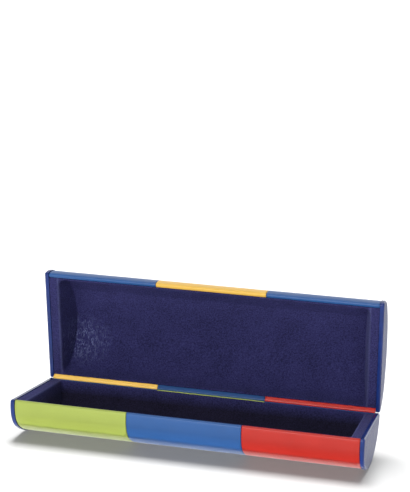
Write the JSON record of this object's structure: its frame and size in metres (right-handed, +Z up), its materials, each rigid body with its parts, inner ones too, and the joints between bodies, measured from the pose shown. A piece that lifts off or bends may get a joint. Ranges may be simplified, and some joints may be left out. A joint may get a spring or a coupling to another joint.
{
  "type": "spectacle case",
  "caption": "Long oval-section hinged glasses case, shown open, with colour-block leatherette panels, plastic end caps and flocked trays that hold folded glasses.",
  "frame": {"origin": "bottom centre of the bounding box of the case as modelled, open", "axes": "+X along the case to the right as seen from the front, +Y from the opening front towards the hinge, +Z up"},
  "size_m": [0.16, 0.0672, 0.0727],
  "materials": {
    "leatherette_green": "embossed leatherette, satin",
    "leatherette_blue": "embossed leatherette, satin",
    "leatherette_red": "embossed leatherette, satin",
    "leatherette_yellow": "embossed leatherette, satin",
    "cap_plastic": "glossy, with a finely textured end face",
    "shell_steel": "black lacquered sheet steel",
    "hinge_steel": "dark phosphated strip",
    "liner_flock": "short flock on a formed tray"
  },
  "bodies": {
    "base": {"base_cover_front_left": "leatherette_green", "base_cover_front_middle": "leatherette_blue", "base_cover_front_right": "leatherette_red", "base_cover_rear_left": "leatherette_blue", "base_cover_rear_middle": "leatherette_green", "base_cover_rear_right": "leatherette_blue", "base_end_cap_left": "cap_plastic", "base_hinge_leaf_left": "hinge_steel", "base_end_cap_right": "cap_plastic", "base_hinge_leaf_right": "hinge_steel", "base_shell": "shell_steel", "base_liner": "liner_flock", "hinge_pin_left": "hinge_steel", "hinge_pin_right": "hinge_steel", "snap_spring": "hinge_steel"},
    "lid": {"lid_cover_front_left": "leatherette_blue", "lid_cover_front_middle": "leatherette_yellow", "lid_cover_front_right": "leatherette_blue", "lid_cover_rear_left": "leatherette_yellow", "lid_cover_rear_middle": "leatherette_blue", "lid_cover_rear_right": "leatherette_red", "lid_end_cap_left": "cap_plastic", "lid_hinge_leaf_left": "hinge_steel", "lid_end_cap_right": "cap_plastic", "lid_hinge_leaf_right": "hinge_steel", "lid_shell": "shell_steel", "lid_liner": "liner_flock", "snap_cam": "hinge_steel"}
  },
  "joints": [
    {"name": "lid_hinge", "type": "hinge", "parent": "base", "child": "lid", "pos_m": [0, 0.02127, 0.0192], "axis": [-1, 0, 0], "range_deg": [-73.6, 32]}
  ]
}
